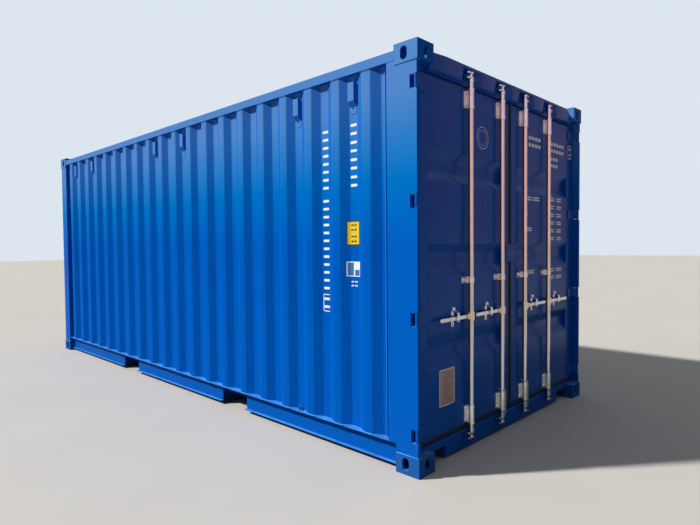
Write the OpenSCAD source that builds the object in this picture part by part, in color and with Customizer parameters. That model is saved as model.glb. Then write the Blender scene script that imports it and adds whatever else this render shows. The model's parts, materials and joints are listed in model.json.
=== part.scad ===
// Twenty-foot steel freight container, in millimetres.
// X runs along the length with the doors at +X, Y across the width, Z up.
// The origin is the middle of the footprint, on the ground.

/* [Overall size] */
// Outside length over the corner castings
length = 6058; // [6048:1:6064]
// Outside width over the corner castings
width = 2438; // [2432:1:2444]
// Outside height over the corner castings
height = 2591; // [2570:1:2600]

/* [Corner castings] */
// Casting size along the length
cast_l = 178; // [170:1:184]
// Casting size across the width
cast_w = 162; // [158:1:166]
// Casting height
cast_h = 118; // [114:1:122]
// Thickness of the plate with the twistlock slot
cast_plate = 28; // [24:1:30]
// Thickness of the casting's outer side and end walls
cast_wall = 18; // [14:1:22]
// Slot length in the top and bottom plates
slot_l = 124; // [118:1:128]
// Slot width in the top and bottom plates
slot_w = 63.5; // [60:0.5:65]
// Slot centre from the container's end
slot_from_end = 102.5; // [100:0.5:104]
// Slot centre from the container's side
slot_from_side = 89.5; // [88:0.5:90]
// Side and end hole height
side_hole_h = 79.5; // [74:0.5:82]
// Side and end hole width
side_hole_w = 51; // [46:1:54]

/* [Frame] */
// Steel thickness of posts and rails
post_t = 6; // [4:0.5:8]
// Rear post face length along the side wall
rear_post_l = 230; // [210:1:250]
// Rear post leg thickness beside the doors
leg_w = 30; // [28:1:34]
// Step of posts and rails behind the casting faces at the ends
end_step = 9; // [6:1:12]
// Step of posts behind the casting faces at the sides
side_step = 4; // [2:1:8]
// Top side rail tube size
top_rail = 60; // [50:1:70]
// Drop of the rail tops below the casting tops
top_drop = 33; // [28:1:40]
// Bottom side rail underside above the ground
rail_z0 = 30; // [20:1:34]
// Bottom side rail top above the ground
rail_z1 = 175; // [165:1:185]
// Bottom side rail web face, in from the casting face
web_in = 52; // [46:1:56]
// Bottom side rail plate thickness
rail_t = 5; // [4:0.5:6]
// Bottom flange width of the bottom side rail
rail_foot = 30; // [20:1:38]
// Top of the front bottom rail above the ground
front_rail_z1 = 150; // [140:1:165]
// Start of the header's tapered ends, in from the castings
header_end = 150; // [120:1:200]
// Step back of the header's tapered ends
header_taper = 18; // [10:1:24]
// Width of the corner cut at the header's right end
corner_cut_w = 100; // [80:1:120]
// Height of the corner cut at the header's right end
corner_cut_h = 42; // [30:1:50]
// Width of the cut in the sill beside each bottom casting
sill_cut = 200; // [180:1:220]
// Rise of the sill's sloping top
sill_rise = 22; // [15:1:30]
// Fork pocket width
pocket_w = 360; // [340:2:370]
// Fork pocket centre distance from the middle
pocket_x = 1025; // [1000:1:1050]

/* [Side walls] */
// Corrugation pitch
pitch = 278; // [274:1:280]
// Outer flat width
outer_flat = 72; // [66:1:80]
// Inner flat width
inner_flat = 70; // [64:1:76]
// Corrugation depth
depth = 36; // [30:1:38]
// Sheet thickness
sheet = 3; // [2:0.5:4]
// Inner flat face, in from the casting face
wall_in = 44; // [42:1:46]
// Flat beside the rear post
end_flat = 71; // [60:1:80]
// Vent height with its screw tabs
vent_h = 244; // [220:1:260]
// Gap above a vent's upper tab
vent_drop = 2; // [1:1:10]
// Vent hood depth
vent_d = 30; // [24:1:32]

/* [Front wall and roof] */
// Front wall corrugation depth
front_depth = 45; // [36:1:48]
// Front wall outer flat width
front_outer = 110; // [100:1:120]
// Front wall inner flat width
front_inner = 104; // [96:1:112]
// Front wall slope width
front_slope = 18; // [12:1:24]
// Roof ridge height
roof_ridge = 20; // [14:1:22]
// Roof ridge top width
ridge_w = 91; // [80:1:100]
// Roof flat between ridges
ridge_gap = 91; // [80:1:100]
// Roof ridge slope width
ridge_slope = 13.5; // [10:0.5:18]
// Number of roof ridges
ridges = 26; // [24:1:26]

/* [Floor] */
// Floor board thickness
board = 28; // [24:1:30]
// Floor top above the ground
floor_z = 170; // [166:1:174]
// Cross member flange width
cross_w = 45; // [40:1:50]
// Cross member plate thickness
cross_t = 4; // [3:0.5:5]

/* [Doors] */
// Door outer face, in from the casting end face
door_in = 61; // [58:1:64]
// Door leaf thickness
leaf_t = 50; // [46:1:54]
// Leaf bottom above the ground
leaf_z0 = 180; // [176:1:184]
// Gap of the leaf top below the casting tops
leaf_drop = 161; // [158:1:164]
// Width of the frame member on the hinge side
hinge_stile = 137; // [125:1:150]
// Width of the frame member on the meeting side
lock_stile = 95; // [85:1:105]
// Height of the top frame member
top_bar = 140; // [125:1:150]
// Height of the bottom frame member
bottom_bar = 165; // [150:1:175]
// Middle of the lowest pressed groove
groove_z = 717; // [700:1:730]
// Distance between pressed grooves
groove_pitch = 586; // [575:1:595]
// Flat width at the bottom of a groove
groove_flat = 68; // [50:1:80]
// Slope height of a groove
groove_slope = 61; // [50:1:70]
// Groove depth
groove_depth = 34; // [24:1:38]
// Half of the gap between the two leaves
meet_gap = 14; // [12:1:16]
// Gasket thickness
gasket = 8; // [6:0.5:9]

/* [Hinges] */
// Number of hinges on each door
hinges = 4; // [3:1:5]
// Lowest hinge height
hinge_z = 246; // [240:1:256]
// Highest hinge below the casting tops
hinge_drop = 242; // [236:1:250]
// Notch height in the post
notch_h = 88; // [84:1:92]
// Height of the hinge blade
blade_h = 74; // [66:1:76]
// Hinge pin radius
pin_r = 7; // [6:0.5:8]
// Hinge knuckle radius
knuckle_r = 13; // [12:0.5:13]
// Reach of the hinge blade over the leaf
blade_l = 110; // [100:1:120]
// Thickness of the hinge blade
blade_t = 9; // [8:0.5:10]

/* [Locking gear] */
// Rod distance from the middle, inner pair
rod_y1 = 178; // [170:1:190]
// Rod distance from the middle, outer pair
rod_y2 = 600; // [590:1:610]
// Rod radius
rod_r = 17; // [15:0.5:18]
// Rod axis in front of the door face
rod_out = 35; // [33:1:36]
// Running clearance of turning parts
run = 0.5; // [0.3:0.1:1]
// Sleeve wall thickness
sleeve_t = 3; // [2.5:0.5:4]
// Sleeve length
sleeve_h = 130; // [120:1:140]
// Handle height above the ground
handle_z = 912; // [900:1:925]
// Handle reach from its pivot to its tip
handle_l = 322; // [300:1:330]
// Handle pivot distance from the rod axis
pivot_y = 42; // [38:1:46]
// Distance from rod to handle catch
catch_y = 178; // [165:1:195]
// Rise of the middle guide above the handle
guide_rise = 241; // [230:1:250]
// Middle of the lap plate above the ground
lap_z = 1326; // [1300:1:1350]
// Lap plate height
lap_h = 128; // [110:1:140]
// Data plate width
data_w = 176; // [160:1:190]
// Data plate height
data_h = 241; // [220:1:260]

/* [Hidden] */
$fn = 64;
eps = 0.01;
xe = length / 2;
ye = width / 2;
// Inner ends of the castings
cx = xe - cast_l;
cy = ye - cast_w;
cz = height - cast_h;
// Post and rail planes
end_x = xe - end_step;
side_y = ye - side_step;
rail_top = height - top_drop;
rail_bot = rail_top - top_rail;
post_x = end_x - rear_post_l;
leg_y = side_y - leg_w;
jamb_x = xe - 129;
jamb_y = leg_y - 35;
wall_y = ye - wall_in;
web_y = ye - web_in;
rail_y = side_y - 2;
hinge_pitch = (height - hinge_drop - hinge_z) / (hinges - 1);
// Wall corrugations, and the middle of the first recess beside the rear post
wall_span = post_x + cx;
wall_slope = (pitch - outer_flat - inner_flat) / 2;
wall_waves = floor((wall_span - end_flat - 40 + inner_flat) / pitch);
recess_x = post_x - end_flat + inner_flat / 2;
front_in = xe - 59;
front_leg_x = front_in - 6;
board_z = floor_z - board;
cross_z0 = 20;
plate_t = 6;
// Door planes
face_x = xe - door_in;
back_x = face_x - leaf_t;
hdr_x = xe - 14;
leaf_z1 = height - leaf_drop;
hdr_z0 = leaf_z1 + gasket + 5;
sill_z0 = 13;
sill_z1 = 130;
sill_top = sill_z1 + sill_rise;
leaf_y1 = leg_y - 8;
panel_z0 = leaf_z0 + bottom_bar;
panel_z1 = leaf_z1 - top_bar;
panel_y0 = meet_gap + lock_stile;
panel_y1 = leaf_y1 - hinge_stile;
// Hinge pin axis
pin_x = end_x - knuckle_r - 1;
pin_y = side_y - leg_w / 2;
// Lock rod axis and heights
rod_x = face_x + rod_out;
top_sleeve_z = leaf_z1 - 75;
low_sleeve_z = leaf_z0 + 63;
guide_z = handle_z + guide_rise;
cam_t = 10;
cam_gap = 24;
cam_low_z = sill_z1 - 2 * cam_t - cam_gap;
cam_top_z = rail_top - 74;
pivot_r = 5;
bar_t = 10;
bar_h = 24;
catch_in = face_x + 11;
catch_x = rod_x + bar_t / 2 + 6;
catch_t = 6;
catch_z = handle_z + 56;
rods = [-rod_y2, -rod_y1, rod_y1, rod_y2];

// Box given by its two corners
module box(a, b) {
    translate(a)
        cube(b - a);
}

// A copy on the other side of the middle as well
module both_y() {
    children();
    mirror([0, 1, 0])
        children();
}

module both_x() {
    children();
    mirror([1, 0, 0])
        children();
}

// Oblong hole, its long side along X
module oblong(l, w, h) {
    for (s = [-1, 1])
        translate([s * (l - w) / 2, 0, 0])
            cylinder(d = w, h = h, center = true);
    cube([l - w, w, h], center = true);
}

// Points of a trapezoid corrugation: distance along it and 0 or 1 for its level
function waves(n, first, slope, crest, valley, span) = concat(
    [[0, 0]],
    [for (k = [0 : n - 1]) each let (u = first + k * (2 * slope + crest + valley))
        [[u, 0], [u + slope, 1], [u + slope + crest, 1], [u + 2 * slope + crest, 0]]],
    [[span, 0]]);

// Sheet cross-section: u along it, v from v0 to v0 + deep, drawn t thick towards -v
module wave_section(points, v0, deep, t) {
    outer = [for (p = points) [p[0], v0 + p[1] * deep]];
    inner = [for (i = [len(points) - 1 : -1 : 0]) [points[i][0], v0 - t + points[i][1] * deep]];
    polygon(concat(outer, inner));
}

// One bottom casting in the +X +Y corner
module casting() {
    top_wall = 10;
    in_x = cx + 10;
    in_y = cy + 14;
    hx = xe - slot_from_end;
    hy = ye - slot_from_side;
    hole_z = cast_plate + side_hole_h / 2 - 4;
    difference() {
        box([cx, cy, 0], [xe, ye, cast_h]);
        box([in_x, in_y, cast_plate], [xe - cast_wall, ye - cast_wall, cast_h - top_wall]);
        translate([hx, hy, cast_plate / 2])
            oblong(slot_l, slot_w, cast_plate + 2);
        translate([hx, ye - cast_wall / 2, hole_z])
            rotate([90, 0, 0])
                rotate([0, 0, 90])
                    oblong(side_hole_h, side_hole_w, cast_wall + 2);
        translate([xe - cast_wall / 2, hy, hole_z])
            rotate([0, 90, 0])
                oblong(side_hole_h, side_hole_w, cast_wall + 2);
    }
}

module castings_bottom() {
    color("#1c57a5")
        both_x() both_y()
            casting();
}

module castings_top() {
    color("#1c57a5")
        both_x() both_y()
            translate([0, 0, height])
                mirror([0, 0, 1])
                    casting();
}

// Closed L section with a leg along the side and a leg along the end
module front_posts() {
    t = post_t;
    outer = [[-end_x, cy], [-end_x, side_y], [-cx, side_y], [-cx, wall_y - sheet],
        [-front_leg_x, wall_y - sheet], [-front_leg_x, cy]];
    inner = [[-end_x + t, cy - 1], [-end_x + t, side_y - t], [-cx - t, side_y - t],
        [-cx - t, wall_y - sheet + t], [-front_leg_x - t, wall_y - sheet + t], [-front_leg_x - t, cy - 1]];
    color("#1c57a5")
        both_y()
            translate([0, 0, cast_h])
                linear_extrude(cz - cast_h)
                    difference() {
                        polygon(outer);
                        polygon(inner);
                    }
}

module rear_post_section() {
    t = post_t;
    difference() {
        polygon([[post_x, side_y], [end_x, side_y], [end_x, leg_y], [jamb_x, leg_y], [jamb_x, jamb_y],
            [cx, jamb_y], [cx, wall_y - sheet], [post_x, wall_y - sheet]]);
        polygon([[post_x + t, side_y - t], [end_x - t, side_y - t], [end_x - t, leg_y + t],
            [jamb_x - t, leg_y + t], [jamb_x - t, jamb_y + t], [cx + t, jamb_y + t],
            [cx + t, wall_y - sheet + t], [post_x + t, wall_y - sheet + t]]);
    }
}

// Solid lugs above and below each hinge notch, bored for the pin
module rear_posts() {
    lug = 24;
    notch_x = pin_x - 38;
    color("#1c57a5")
        both_y()
            difference() {
                union() {
                    intersection() {
                        translate([0, 0, cast_h])
                            linear_extrude(rail_bot - cast_h)
                                rear_post_section();
                        union() {
                            box([cx, 0, cast_h], [xe, ye, cz]);
                            box([post_x - 1, 0, rail_z1], [cx, ye, rail_bot]);
                        }
                    }
                    for (k = [0 : hinges - 1])
                        translate([0, 0, hinge_z + k * hinge_pitch])
                            box([notch_x - 10, leg_y, -notch_h / 2 - lug],
                                [end_x, side_y, notch_h / 2 + lug]);
                }
                for (k = [0 : hinges - 1])
                    translate([0, 0, hinge_z + k * hinge_pitch]) {
                        box([notch_x, leg_y - 1, -notch_h / 2], [xe, ye, notch_h / 2]);
                        translate([pin_x, pin_y, 0])
                            cylinder(r = pin_r, h = notch_h + 2 * lug - 8, center = true);
                    }
            }
}

module hinge_pins() {
    color("#9aa0a4")
        both_y()
            for (k = [0 : hinges - 1])
                translate([pin_x, pin_y, hinge_z + k * hinge_pitch])
                    cylinder(r = pin_r, h = notch_h + 2 * 20, center = true);
}

module top_side_rails() {
    y0 = ye - 2 - top_rail;
    color("#1c57a5")
        both_y()
            difference() {
                box([-cx, y0, rail_bot], [cx, ye - 2, rail_top]);
                box([-cx - 1, y0 + 3, rail_bot + 3], [cx + 1, ye - 5, rail_top - 3]);
            }
}

// Channel open to the outside, its web cut out at the fork pockets
module bottom_side_rails() {
    color("#1c57a5")
        both_y()
            difference() {
                union() {
                    box([-cx, web_y - rail_t, rail_z0], [cx, web_y, rail_z1]);
                    box([-cx, web_y - rail_t, rail_z1 - rail_t], [cx, rail_y, rail_z1]);
                    box([-cx, web_y - rail_t, rail_z0], [cx, web_y + rail_foot - rail_t, rail_z0 + rail_t]);
                }
                for (s = [-1, 1])
                    translate([s * pocket_x, 0, 0])
                        box([-pocket_w / 2, 0, 0], [pocket_w / 2, ye, board_z - plate_t]);
            }
}

module front_top_rail() {
    x0 = -end_x + 2;
    color("#1c57a5")
        difference() {
            box([x0, -cy, rail_bot], [x0 + top_rail, cy, rail_top]);
            box([x0 + 3, -cy - 1, rail_bot + 3], [x0 + top_rail - 3, cy + 1, rail_top - 3]);
        }
}

module front_bottom_rail() {
    x0 = -end_x + 2;
    color("#1c57a5")
        difference() {
            box([x0, -cy, sill_z0], [-front_leg_x, cy, front_rail_z1]);
            box([x0 + 4, -cy - 1, sill_z0 + 4], [-front_leg_x - 4, cy + 1, front_rail_z1 - 4]);
        }
}

// Box section with tapered ends and sloping recesses round the lock rods' top cams
// Hollow pressed round a cam, with sloping sides and a sloping top, from depth x0 to the face x1
module hollow(x0, x1, z0, z1) {
    low = 150;
    high = 115;
    inset = 80;
    drop = 8;
    lean = (low - high) / (z1 - z0);
    b = low - inset;
    t = b - lean * (z1 - drop - z0);
    polyhedron([[x1, -low, z0], [x1, low, z0], [x1, high, z1], [x1, -high, z1],
        [x0, -b, z0], [x0, b, z0], [x0, t, z1 - drop], [x0, -t, z1 - drop]],
        [[0, 3, 2, 1], [4, 5, 6, 7], [0, 1, 5, 4], [3, 7, 6, 2], [1, 2, 6, 5], [0, 4, 7, 3]]);
}

module door_header() {
    deep_x = face_x + 4;
    taper_y = cy - header_end;
    cut_y = cy - corner_cut_w;
    color("#1c57a5")
        difference() {
            union() {
                rotate([90, 0, 0])
                    linear_extrude(2 * cy, center = true)
                        polygon([[jamb_x, hdr_z0], [face_x, hdr_z0], [hdr_x - 10, hdr_z0 + 12],
                            [hdr_x, hdr_z0 + 24], [hdr_x, rail_top], [jamb_x, rail_top]]);
                box([jamb_x, -leg_y, hdr_z0], [face_x, leg_y, cz]);
                box([jamb_x - 8, -jamb_y, hdr_z0 - 30], [jamb_x, jamb_y, cz]);
                box([jamb_x - 8, -cy, cz], [jamb_x, cy, rail_top]);
            }
            box([jamb_x + 4, -leg_y - 1, hdr_z0 + 4], [face_x - 4, leg_y + 1, rail_top - 4]);
            for (y = rods)
                translate([0, y, 0])
                    hollow(deep_x, hdr_x + 1, hdr_z0 - 1, rail_top - 18);
            both_y()
                translate([0, 0, hdr_z0 - 1])
                    linear_extrude(rail_top - hdr_z0 + 2)
                        polygon([[hdr_x, taper_y], [hdr_x + 1, taper_y], [hdr_x + 1, cy + 1],
                            [hdr_x - header_taper, cy + 1]]);
            translate([face_x, 0, 0])
                rotate([90, 0, 90])
                    linear_extrude(hdr_x - face_x + 1)
                        polygon([[cut_y, rail_top], [cy + 1, rail_top - corner_cut_h],
                            [cy + 1, rail_top + 1], [cut_y, rail_top + 1]]);
        }
}

// Box section with a sloping top and a cut-out beside each casting
module door_sill() {
    cut_h = 75;
    color("#1c57a5")
        difference() {
            union() {
                rotate([90, 0, 0])
                    linear_extrude(2 * cy, center = true)
                        polygon([[jamb_x - 8, sill_z0], [face_x, sill_z0], [face_x, sill_z1],
                            [jamb_x, sill_top], [jamb_x - 8, sill_top]]);
                intersection() {
                    rotate([90, 0, 0])
                        linear_extrude(2 * leg_y, center = true)
                            polygon([[jamb_x, cast_h], [face_x, cast_h],
                                [face_x, sill_z1], [jamb_x, sill_top]]);
                    box([0, -leg_y, cast_h], [xe, leg_y, 200]);
                }
                box([jamb_x - 8, -jamb_y, cast_h], [jamb_x, jamb_y, floor_z]);
            }
            box([jamb_x - 2, -cy + sill_cut + 6, sill_z0 + 6], [face_x - 6, cy - sill_cut - 6, sill_z1 - 6]);
            both_y()
                box([jamb_x - 9, cy - sill_cut, 0], [xe, cy + 1, sill_z0 + cut_h]);
        }
}

module side_wall() {
    points = waves(wall_waves, end_flat, wall_slope, outer_flat, inner_flat, wall_span);
    translate([post_x, 0, rail_z1])
        mirror([1, 0, 0])
            linear_extrude(rail_bot - rail_z1)
                wave_section(points, wall_y, depth, sheet);
}

module side_wall_left() {
    color("#1c57a5")
        mirror([0, 1, 0])
            side_wall();
}

module side_wall_right() {
    color("#1c57a5")
        side_wall();
}

module front_wall() {
    span = 2 * cy;
    step = 2 * front_slope + front_outer + front_inner;
    n = floor((span - 80 + front_inner) / step);
    first = (span - n * step + front_inner) / 2;
    color("#1c57a5")
        translate([0, -cy, front_rail_z1])
            linear_extrude(rail_bot - front_rail_z1)
                mirror([1, -1, 0])
                    mirror([0, 1, 0])
                        wave_section(waves(n, first, front_slope, front_outer, front_inner, span),
                            front_in, front_depth, sheet);
}

module roof_panel() {
    half = ye - top_rail - 12;
    span = 2 * cx;
    step = 2 * ridge_slope + ridge_w + ridge_gap;
    first = (span - ridges * step + ridge_gap) / 2;
    points = waves(ridges, first, ridge_slope, ridge_w, ridge_gap, span);
    color("#1c57a5")
        translate([0, 0, rail_top]) {
            translate([-cx, 0, 0])
                rotate([90, 0, 0])
                    linear_extrude(2 * half, center = true)
                        wave_section(points, sheet, roof_ridge, sheet);
            both_y() {
                box([-cx, half - eps, 0], [cx, ye - 24, sheet]);
                for (k = [0 : ridges - 1])
                    translate([-cx + first + k * step, half, 0])
                        rotate([90, 0, 0])
                            linear_extrude(sheet)
                                polygon([[0, 0], [0, sheet], [ridge_slope, sheet + roof_ridge],
                                    [ridge_slope + ridge_w, sheet + roof_ridge],
                                    [2 * ridge_slope + ridge_w, sheet], [2 * ridge_slope + ridge_w, 0]]);
            }
            both_x() {
                box([cx - eps, -cy + 6, 0], [face_x, cy - 6, sheet]);
                box([face_x - eps, -cy + header_end, 0], [hdr_x - 10, cy - header_end, sheet]);
            }
        }
}

// Two columns and five rows of boards
module floor_boards() {
    x0 = -front_leg_x;
    x1 = jamb_x - 8;
    l = (x1 - x0) / 5;
    y1 = web_y - rail_t;
    color("#8a6a42")
        both_y()
            difference() {
                for (k = [0 : 4])
                    box([x0 + k * l, 1, board_z], [x0 + (k + 1) * l - (k < 4 ? 2 : 0), y1, floor_z]);
                box([cx - 1, jamb_y - 1, board_z - 1], [xe, ye, floor_z + 1]);
            }
}

// Channel across the width, open towards +X
module cross_member(x) {
    y1 = web_y - rail_t;
    h = board_z - cross_z0;
    translate([x, 0, cross_z0])
        rotate([90, 0, 0])
            linear_extrude(2 * y1, center = true)
                difference() {
                    square([cross_w, h]);
                    translate([cross_t, cross_t])
                        square([cross_w, h - 2 * cross_t]);
                }
}

module cross_members() {
    inner = pocket_x - pocket_w / 2;
    outer = pocket_x + pocket_w / 2;
    color("#1a4f96") {
        for (k = [1 : 5])
            both_x()
                cross_member(outer + k * (front_leg_x - outer) / 6 - cross_w / 2);
        both_x() {
            cross_member(inner - cross_w);
            translate([2 * outer + cross_w, 0, 0])
                mirror([1, 0, 0])
                    cross_member(outer);
        }
        for (k = [-2 : 2])
            cross_member(k * inner / 3 - cross_w / 2);
    }
}

// Top plates of the two fork tunnels
module fork_pocket_plates() {
    color("#1a4f96")
        both_x()
            box([pocket_x - pocket_w / 2, -web_y + rail_t, board_z - plate_t],
                [pocket_x + pocket_w / 2, web_y - rail_t, board_z]);
}

// Vent in one recess of the wall: a flat plate with a narrower hood on it, open at its sloping mouth
module vent() {
    w = inner_flat - 4;
    hood_w = w - 12;
    z1 = rail_bot - vent_drop;
    z0 = z1 - vent_h;
    y1 = wall_y + 3;
    translate([0, y1, 0])
        rotate([90, 0, 0])
            linear_extrude(3)
                polygon([[-w / 2 + 8, z0], [w / 2 - 8, z0], [w / 2, z0 + 50],
                    [w / 2, z1 - 10], [w / 2 - 10, z1],
                    [-w / 2 + 10, z1], [-w / 2, z1 - 10], [-w / 2, z0 + 50]]);
    translate([hood_w / 2, 0, 0])
        rotate([0, -90, 0])
            linear_extrude(hood_w)
                polygon([[z0 + 45, y1 - 1], [z0 + 45, y1 + 1], [z0 + 80, wall_y + vent_d],
                    [z1 - 43, wall_y + vent_d], [z1 - 35, y1], [z1 - 35, y1 - 1]]);
}

module vents() {
    for (k = [1, 3, floor(wall_waves / 2) - 1, floor(wall_waves / 2) + 1, wall_waves - 3, wall_waves - 1])
        translate([recess_x - k * pitch, 0, 0])
            vent();
}

module vents_left() {
    color("#1a4f96")
        mirror([0, 1, 0])
            vents();
}

module vents_right() {
    color("#1a4f96")
        vents();
}

// Tongue between the cam's two jaws, on a plate; s is the side it stands on
module keeper(x, y, z, s) {
    mid = z + cam_t + cam_gap / 2;
    box([x, y - 36, mid - 24], [x + 6, y + 36, mid + 24]);
    translate([0, y, 0])
        scale([1, s, 1])
            box([x + 6 - eps, 20, mid - 7], [rod_x + 6, 40, mid + 7]);
}

module cam_keepers() {
    color("#1c57a5")
        for (y = rods) {
            s = y < 0 ? -1 : 1;
            keeper(face_x + 4, y, cam_top_z, s);
            keeper(face_x, y, cam_low_z, s);
        }
}

// Welded hook for the rope that holds an open door back
module tie_back_hooks() {
    color("#1c57a5")
        both_y()
            translate([recess_x - 3 * pitch - 8, web_y + 26, rail_z1]) {
                cylinder(r = 5, h = 20);
                translate([0, 0, 20])
                    rotate([90, 0, 0])
                        translate([10, 0, 0])
                            rotate_extrude(angle = 180)
                                translate([10, 0])
                                    circle(r = 5);
                translate([20, 0, 8])
                    cylinder(r = 5, h = 12);
            }
}

// Door frame: a tube ring with open stile ends
module door_frame() {
    t = 4;
    color("#1c57a5")
        difference() {
            box([back_x, meet_gap, leaf_z0], [face_x, leaf_y1, leaf_z1]);
            box([back_x - 1, panel_y0, panel_z0], [face_x + 1, panel_y1, panel_z1]);
            box([back_x + t, meet_gap + t, leaf_z0 - 1], [face_x - t, panel_y0 - t, leaf_z1 + 1]);
            box([back_x + t, panel_y1 + t, leaf_z0 - 1], [face_x - t, leaf_y1 - t, leaf_z1 + 1]);
            box([back_x + t, meet_gap + t, leaf_z0 + t], [face_x - t, leaf_y1 - t, panel_z0 - t]);
            box([back_x + t, meet_gap + t, panel_z1 + t], [face_x - t, leaf_y1 - t, leaf_z1 - t]);
        }
}

// Sheet flush with the frame, with pressed level grooves
module door_panel() {
    span = panel_z1 - panel_z0;
    first = groove_z - groove_slope - groove_flat / 2 - panel_z0;
    valley = groove_pitch - groove_flat - 2 * groove_slope;
    color("#1c57a5")
        translate([0, panel_y1, panel_z0])
            rotate([90, 0, 0])
                linear_extrude(panel_y1 - panel_y0)
                    mirror([1, -1, 0])
                        wave_section(waves(3, first, groove_slope, groove_flat, valley, span),
                            face_x, -groove_depth, sheet);
}

module door_gasket() {
    x0 = back_x - gasket;
    z0 = leaf_z0 - 28;
    z1 = leaf_z1 + gasket;
    y0 = meet_gap - gasket;
    color("#22252b") {
        box([x0, y0, leaf_z1], [face_x - 6, leaf_y1, z1]);
        box([x0, y0, z0], [face_x - 6, leaf_y1, leaf_z0]);
        box([x0, y0, z0], [face_x - 6, meet_gap, z1]);
        box([x0, jamb_y - 5, z0], [back_x, leaf_y1, z1]);
    }
}

// Hinge blades on the leaf with a knuckle round each pin
module hinge_blades() {
    color("#1c57a5")
        for (k = [0 : hinges - 1])
            translate([0, 0, hinge_z + k * hinge_pitch - blade_h / 2])
                difference() {
                    union() {
                        linear_extrude(blade_h)
                            polygon([[face_x, leaf_y1 - blade_l], [face_x + blade_t, leaf_y1 - blade_l],
                                [face_x + blade_t, leaf_y1 - 12], [pin_x + 4, pin_y - 10],
                                [pin_x - 5, pin_y + 10], [face_x, leaf_y1]]);
                        translate([pin_x, pin_y, 0])
                            cylinder(r = knuckle_r, h = blade_h);
                    }
                    translate([pin_x, pin_y, -1])
                        cylinder(r = pin_r + run, h = blade_h + 2);
                }
}

// Sleeve on a bolted plate, for a rod at y
module sleeve(y, z, h, half, plate_h) {
    translate([0, y, z])
        difference() {
            union() {
                box([face_x, -half, -plate_h / 2], [face_x + 6, half, plate_h / 2]);
                box([face_x, -14, -h / 2 + 8], [rod_x, 14, h / 2 - 8]);
                translate([rod_x, 0, 0])
                    cylinder(r = rod_r + run + sleeve_t, h = h, center = true);
                if (h > 100)
                    for (z1 = [-h / 2, h / 2 - 9])
                        translate([rod_x, 0, z1])
                            cylinder(r = rod_r + run + sleeve_t + 2.5, h = 9);
            }
            translate([rod_x, 0, 0])
                cylinder(r = rod_r + run, h = h + 2, center = true);
        }
}

module rod_brackets() {
    color("#c9c6c0")
        for (y = [rod_y1, rod_y2]) {
            sleeve(y, top_sleeve_z, sleeve_h, 40, sleeve_h - 16);
            sleeve(y, low_sleeve_z, sleeve_h - 4, 40, sleeve_h - 16);
            sleeve(y, guide_z, 36, 68, 42);
        }
}

// Back plate with a ring below, a shelf for the handle and the pin of the catch
module handle_retainers() {
    ring_z = handle_z - 42;
    shelf_z = handle_z - bar_h / 2 - 1;
    color("#c9c6c0")
        for (y = [rod_y1, rod_y2])
            translate([0, y + catch_y, 0]) {
                difference() {
                    union() {
                        box([face_x, -13, ring_z], [face_x + 5, 13, catch_z]);
                        for (z = [ring_z, catch_z])
                            translate([face_x, 0, z])
                                rotate([0, 90, 0])
                                    cylinder(r = 16, h = 5);
                    }
                    translate([face_x - 1, 0, ring_z])
                        rotate([0, 90, 0])
                            cylinder(r = 7, h = 7);
                }
                translate([face_x, 0, catch_z])
                    rotate([0, 90, 0])
                        cylinder(r = pivot_r, h = catch_in + catch_t + 3 - face_x);
                box([face_x, -13, shelf_z - 7], [catch_x + catch_t, 13, shelf_z]);
            }
}

// Thin plate between the left door's outer rod and its hinge side
module data_plate() {
    y1 = data_w + 115 - panel_y1;
    z0 = panel_z0 + 5;
    color("#8d8377")
        box([face_x, y1 - data_w, z0], [face_x + 2, y1, z0 + data_h]);
}

// Bar on the right door that laps over the left one
module lap_plate() {
    color("#1c57a5") {
        box([face_x, meet_gap + 6, lap_z - lap_h / 2 + 6],
            [face_x + 6, panel_y0 - 10, lap_z + lap_h / 2 - 6]);
        box([face_x + 6 - eps, -meet_gap - 70, lap_z - lap_h / 2],
            [face_x + 12, panel_y0 - 4, lap_z + lap_h / 2]);
    }
}

// Two jaws with a core between them, the long side of the jaws towards +Y
module cam(z) {
    long = 32;
    for (dz = [0, cam_t + cam_gap])
        translate([0, 0, z + dz]) {
            cylinder(r = 20, h = cam_t);
            translate([0, long, 0])
                cylinder(r = 14, h = cam_t);
            translate([-14, 0, 0])
                cube([28, long, cam_t]);
        }
    translate([0, 0, z])
        cylinder(r = 12, h = 2 * cam_t + cam_gap);
}

// Rod with cams, collars and the clevis of its handle, on its own axis
module lock_rod_shape() {
    low = cam_low_z + 2 * cam_t + cam_gap;
    hub_h = 60;
    ear = bar_t / 2 + run + 6;
    color("#cdc8c2") {
        translate([0, 0, low])
            cylinder(r = rod_r, h = cam_top_z - low);
        cam(cam_low_z);
        cam(cam_top_z);
        translate([0, 0, low + 6])
            cylinder(r = rod_r + 4, h = 12);
        translate([0, 0, cam_top_z - 18])
            cylinder(r = rod_r + 4, h = 12);
        difference() {
            union() {
                translate([0, 0, handle_z - hub_h / 2])
                    cylinder(r = rod_r + 6, h = hub_h);
                box([-ear, 0, handle_z - 19], [ear, pivot_y, handle_z + 19]);
                translate([0, pivot_y, handle_z])
                    rotate([0, 90, 0])
                        cylinder(r = 19, h = 2 * ear, center = true);
            }
            box([-bar_t / 2 - run, rod_r + 3, handle_z - 40],
                [bar_t / 2 + run, pivot_y + 40, handle_z + 40]);
        }
        translate([0, pivot_y, handle_z])
            rotate([0, 90, 0])
                cylinder(r = pivot_r, h = 2 * ear + 6, center = true);
    }
}

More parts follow.
